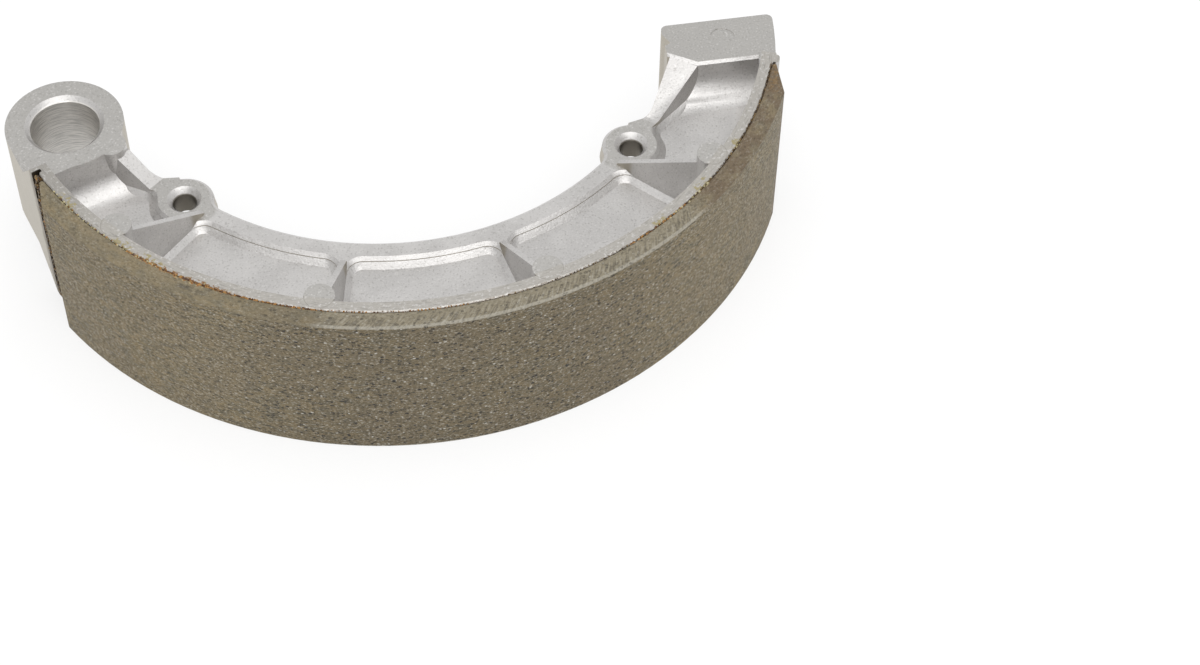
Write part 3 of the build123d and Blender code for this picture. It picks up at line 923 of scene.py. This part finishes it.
@dataclass(frozen=True)
class Stretch:
    """One stretch of squeezed-out beads along the joint, in degrees and millimetres."""

    start: float
    end: float
    per_mm: float
    size: float
    spread: float
    seed: int
    bead_height: float = 0.27
    sink: float = 0.02
    corners: int = 60

    def paths(self) -> list[list[Vector]]:
        """Lay the lines that the beads follow: the joint on both side faces.

        Returns:
            The corners of each line, in millimetres.
        """
        level = SIZES.half_width - self.sink - self.bead_height
        shares = [corner / self.corners for corner in range(self.corners + 1)]
        turns = [math.radians(self.start + (self.end - self.start) * share) for share in shares]
        ring = [Vector((math.cos(turn), math.sin(turn), 0.0)) * SIZES.joint_radius for turn in turns]
        return [[place + Vector((0.0, 0.0, face.value * level)) for place in ring] for face in Face]


@dataclass(frozen=True)
class GrooveStretch(Stretch):
    """Beads that fill the groove at the lining's pivot end, from a start to an end height."""

    angle: float = -154.35
    radius: float = 86.2

    def paths(self) -> list[list[Vector]]:
        """Lay the line along the groove, from one side of the shoe to the other.

        Returns:
            The two ends of the one line, in millimetres.
        """
        turn = math.radians(self.angle)
        foot = Vector((math.cos(turn), math.sin(turn), 0.0)) * self.radius
        return [[foot + Vector((0.0, 0.0, height)) for height in (self.start, self.end)]]


@dataclass
class SqueezedBeads:
    """Beads of cured adhesive that stand in the gap between the table's edge and the lining."""

    name: str
    finish: CuredAdhesive
    stretches: tuple[Stretch, ...]
    roughening: float = 0.12
    lump_size: float = 0.5
    narrowest: float = 0.45
    line_seeds: int = 1000
    draw_seeds: float = 17.0

    def build(self) -> bpy.types.Object:
        """Lay the beads along all the lines of their stretches.

        Returns:
            The beads as one plain mesh.
        """
        material = self.finish.material()
        tree = self.tree(material)
        joined = bmesh.new()
        for stretch in self.stretches:
            for number, path in enumerate(stretch.paths()):
                mesh = self.laid(tree, stretch, path, stretch.seed + self.line_seeds * number)
                joined.from_mesh(mesh)
                bpy.data.meshes.remove(mesh)
        whole = bpy.data.meshes.new(self.name)
        joined.to_mesh(whole)
        joined.free()
        whole.shade_smooth()
        whole.materials.append(material)
        piece = link_object(self.name, whole)
        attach(piece, "root")
        return piece

    def laid(self, tree: Tree, stretch: Stretch, path: list[Vector], seed: int) -> bpy.types.Mesh:
        """Lay the beads of one stretch along one line.

        Args:
            tree: the node tree of the beads.
            stretch: sizes and number of the beads.
            path: the line's corners in millimetres.
            seed: the seed of the random sizes and places.

        Returns:
            The beads' mesh.
        """
        line = bpy.data.meshes.new(self.name + "_path")
        links = [(corner - 1, corner) for corner in range(1, len(path))]
        line.from_pydata([place * MM for place in path], links, [])
        carrier = link_object(self.name + "_path", line)
        modifier = carrier.modifiers.new("beads", "NODES")
        modifier.node_group = tree
        length = sum((after - before).length for before, after in zip(path, path[1:]))
        values = {
            "Count": max(1, round(stretch.per_mm * length)),
            "Size": stretch.size * MM,
            "Height": stretch.bead_height * MM,
            "Spread": stretch.spread * MM,
            "Seed": seed,
        }
        for item in tree.interface.items_tree:
            if item.item_type == "SOCKET" and item.in_out == "INPUT" and item.name in values:
                modifier[item.identifier] = values[item.name]
        mesh = baked(carrier)
        bpy.data.objects.remove(carrier)
        return mesh

    def tree(self, material: bpy.types.Material) -> Tree:
        """Build the node tree that strews beads of a material along a line.

        Args:
            material: the beads' material.

        Returns:
            The node tree.
        """
        tree = bpy.data.node_groups.new(self.name, "GeometryNodeTree")
        kinds = {"Geometry": "Geometry", "Count": "Int", "Size": "Float", "Height": "Float"}
        kinds.update({"Spread": "Float", "Seed": "Int"})
        for name, kind in kinds.items():
            tree.interface.new_socket(name, in_out="INPUT", socket_type="NodeSocket" + kind)
        tree.interface.new_socket("Geometry", in_out="OUTPUT", socket_type="NodeSocketGeometry")
        given = add_node(tree, "NodeGroupInput").outputs
        line = add_node(tree, "GeometryNodeMeshToCurve", None, {0: given["Geometry"]})
        links = {"Curve": line.outputs["Curve"], "Count": given["Count"]}
        points = add_node(tree, "GeometryNodeCurveToPoints", {"mode": "COUNT"}, links)
        jitter = self.random(tree, given["Seed"], (-1.0, -1.0, 0.0), (1.0, 1.0, 0.0))
        spread = self.joined(tree, "SCALE", {0: jitter, "Scale": given["Spread"]})
        strewn = self.moved(tree, points.outputs["Points"], spread)
        bead = add_node(tree, "GeometryNodeMeshIcoSphere", None, {"Radius": 1.0, "Subdivisions": 2})
        smallest = (self.narrowest, self.narrowest, 0.0)
        width = self.random(tree, given["Seed"], smallest, (1.0, 1.0, 0.0))
        flat = self.joined(tree, "SCALE", {0: width, "Scale": given["Size"]})
        tall = add_node(tree, "ShaderNodeCombineXYZ", None, {"Z": given["Height"]})
        scale = self.joined(tree, "ADD", {0: flat, 1: tall.outputs[0]})
        turn = self.random(tree, given["Seed"], (0.0, 0.0, 0.0), (0.0, 0.0, math.tau))
        links = {"Points": strewn, "Instance": bead.outputs["Mesh"], "Rotation": turn, "Scale": scale}
        beads = add_node(tree, "GeometryNodeInstanceOnPoints", None, links)
        real = add_node(tree, "GeometryNodeRealizeInstances", None, {0: beads.outputs[0]})
        place = add_node(tree, "GeometryNodeInputPosition").outputs[0]
        links = {"Vector": place, "Scale": 1 / (self.lump_size * MM)}
        lumps = add_node(tree, "ShaderNodeTexNoise", None, links)
        centred = self.joined(tree, "SUBTRACT", {0: lumps.outputs["Color"], 1: (0.5, 0.5, 0.5)})
        swell = self.roughening * MM * 2
        rough = self.joined(tree, "MULTIPLY", {0: centred, 1: (swell, swell, 0.0)})
        links = {"Geometry": self.moved(tree, real.outputs[0], rough), "Material": material}
        dressed = add_node(tree, "GeometryNodeSetMaterial", None, links)
        add_node(tree, "NodeGroupOutput", None, {0: dressed.outputs[0]})
        return tree

    def joined(self, tree: Tree, operation: str, links: dict) -> Socket:
        """Join vectors by one Vector Math operation and return its result."""
        return add_node(tree, "ShaderNodeVectorMath", {"operation": operation}, links).outputs[0]

    def moved(self, tree: Tree, geometry: Socket, offset: Socket) -> Socket:
        """Move a geometry's points by an offset and return it."""
        links = {"Geometry": geometry, "Offset": offset}
        return add_node(tree, "GeometryNodeSetPosition", None, links).outputs[0]

    def random(self, tree: Tree, seed: Socket, low: Triple, high: Triple) -> Socket:
        """Draw random vectors between two corners, others at each use of the seed.

        Args:
            tree: the node tree.
            seed: the seed of the whole line.
            low: the corner of the smallest values.
            high: the corner of the largest values.

        Returns:
            The random vectors.
        """
        salt = sum(1 for node in tree.nodes if node.bl_idname == "FunctionNodeRandomValue")
        links = {0: seed, 1: self.draw_seeds * salt}
        mixed = add_node(tree, "ShaderNodeMath", {"operation": "ADD"}, links)
        settings = {"data_type": "FLOAT_VECTOR"}
        node = add_node(tree, "FunctionNodeRandomValue", settings, {0: low, 1: high})
        tree.links.new(mixed.outputs[0], node.inputs["Seed"])
        return node.outputs[0]


@dataclass
class Studio:
    """Plain pale floor, soft light and the camera of the photograph."""

    camera_place: Triple = (-30.694, -420.060, 434.256)
    heading: float = -10.8
    tilt: float = 38.431
    roll: float = 1.229
    lens: float = 79.522
    sensor_width: float = 36.0
    floor_size: float = 6.0
    floor_colour: str = "FCFCFC"
    floor_roughness: float = 0.9
    floor_white: float = 0.7
    white: str = "FFFFFF"
    key_place: Triple = (0.05, -0.42, 0.8)
    key_size: Span = (1.0, 1.2)
    key_power: float = 4.9
    key_aim: Triple = (0.0, -0.05, 0.0)
    world_strength: float = 0.85

    def build(self) -> None:
        """Make the camera, the floor, the lamp and the world."""
        self.add_camera()
        self.add_floor()
        self.add_lamp()
        self.set_world()
        bpy.context.scene.view_settings.view_transform = "Standard"

    def add_camera(self) -> None:
        """Place the camera that was fitted to the photograph."""
        data = bpy.data.cameras.new("photo_camera")
        data.lens = self.lens
        data.sensor_width = self.sensor_width
        camera = bpy.data.objects.new("photo_camera", data)
        bpy.context.scene.collection.objects.link(camera)
        turn = Matrix.Rotation(math.radians(self.heading), 4, "Z")
        turn = turn @ Matrix.Rotation(math.radians(self.tilt), 4, "X")
        turn = turn @ Matrix.Rotation(math.radians(self.roll), 4, "Z")
        camera.matrix_world = Matrix.Translation(Vector(self.camera_place) * MM) @ turn
        bpy.context.scene.camera = camera

    def add_floor(self) -> None:
        """Lay the floor under the shoe: pale to the light, and nearer white to the camera and to gloss."""
        half = self.floor_size / 2
        level = -SIZES.half_width * MM
        mesh = bpy.data.meshes.new("floor")
        corners = [(-half, -half, level), (half, -half, level), (half, half, level), (-half, half, level)]
        mesh.from_pydata(corners, [], [(0, 1, 2, 3)])
        floor = link_object("floor", mesh)
        paint = Painter("studio_floor")
        paint.shader.inputs["Base Color"].default_value = linear(self.floor_colour)
        paint.shader.inputs["Roughness"].default_value = self.floor_roughness
        links = {"Color": linear(self.white), "Strength": 1.0}
        white = add_node(paint.tree, "ShaderNodeEmission", None, links).outputs[0]
        light = add_node(paint.tree, "ShaderNodeLightPath").outputs
        rays = [light[name] for name in ("Is Camera Ray", "Is Glossy Ray", "Is Transmission Ray")]
        links = {0: paint.both(paint.any(*rays), self.floor_white), 1: paint.shader.outputs[0], 2: white}
        shader = add_node(paint.tree, "ShaderNodeMixShader", None, links)
        paint.tree.links.new(shader.outputs[0], paint.tree.nodes["Material Output"].inputs[0])
        mesh.materials.append(paint.material)

    def add_lamp(self) -> None:
        """Hang the soft lamp above the shoe."""
        data = bpy.data.lights.new("overhead_softbox", "AREA")
        data.shape = "RECTANGLE"
        data.size, data.size_y = self.key_size
        data.energy = self.key_power
        lamp = bpy.data.objects.new("overhead_softbox", data)
        bpy.context.scene.collection.objects.link(lamp)
        place = Vector(self.key_place)
        turn = (Vector(self.key_aim) - place).to_track_quat("-Z", "Y").to_matrix().to_4x4()
        lamp.matrix_world = Matrix.Translation(place) @ turn

    def set_world(self) -> None:
        """Give the world an even soft white light."""
        world = bpy.data.worlds.new("studio")
        bpy.context.scene.world = world
        world.use_nodes = True
        tree = world.node_tree
        tree.nodes.clear()
        links = {"Color": linear(self.white), "Strength": self.world_strength}
        soft = add_node(tree, "ShaderNodeBackground", None, links)
        add_node(tree, "ShaderNodeOutputWorld", None, {0: soft.outputs[0]})


# Starts and ends are degrees along the joint, and heights in millimetres in the groove
AMBER_STRETCHES = (
    Stretch(-149.0, -135.0, per_mm=0.7, size=0.34, spread=0.3, seed=2),
    Stretch(-135.0, -118.0, per_mm=6.5, size=0.38, spread=0.42, seed=3),
    Stretch(-118.0, -106.5, per_mm=3.6, size=0.32, spread=0.25, seed=4),
    Stretch(-106.5, -86.0, per_mm=1.3, size=0.3, spread=0.25, seed=5),
    Stretch(-61.5, -50.5, per_mm=1.4, size=0.45, spread=0.35, seed=6),
    GrooveStretch(-19.1, 19.5, per_mm=3.0, size=0.3, spread=0.75, seed=7, bead_height=0.3),
)
STRAW_STRETCHES = (
    Stretch(-150.5, -135.0, per_mm=0.9, size=0.4, spread=0.35, seed=11),
    Stretch(-135.0, -129.0, per_mm=1.6, size=0.4, spread=0.4, seed=12),
    Stretch(-54.0, -44.5, per_mm=0.8, size=0.5, spread=0.4, seed=13),
    Stretch(-38.0, -36.2, per_mm=1.5, size=0.5, spread=0.4, seed=14),
)
UMBER_STRETCHES = (
    Stretch(-84.0, -62.0, per_mm=1.2, size=0.25, spread=0.3, seed=21),
    Stretch(-50.5, -21.0, per_mm=2.6, size=0.26, spread=0.25, seed=22),
    GrooveStretch(-19.1, 19.5, per_mm=16.0, size=0.38, spread=0.85, seed=23, bead_height=0.38),
)


def main() -> None:
    """Build and dress every piece, and report each one."""
    logging.basicConfig(level=logging.INFO, format="%(name)s: %(message)s")
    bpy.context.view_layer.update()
    casting = RoundedNode("shoe_casting", "casting", "casting", joint_bevel=0.3, edge_radius=0.3)
    lining = RoundedNode("friction_lining", "lining", "lining", joint_bevel=0.4, edge_radius=0.3)
    for copy, finish in ((casting, BlastedCasting()), (lining, FrictionCompound())):
        piece = copy.build()
        copy.dress(piece, finish.material())
        LOG.info("%s: %d faces", piece.name, len(piece.data.polygons))
    beads = (
        SqueezedBeads("adhesive_amber", AMBER, AMBER_STRETCHES),
        SqueezedBeads("adhesive_straw", STRAW, STRAW_STRETCHES),
        SqueezedBeads("adhesive_umber", UMBER, UMBER_STRETCHES),
    )
    for strand in beads:
        piece = strand.build()
        LOG.info("%s: %d faces", piece.name, len(piece.data.polygons))
    Studio().build()
    LOG.info("studio: camera, floor and lamp")


if __name__ == "__main__":
    main()
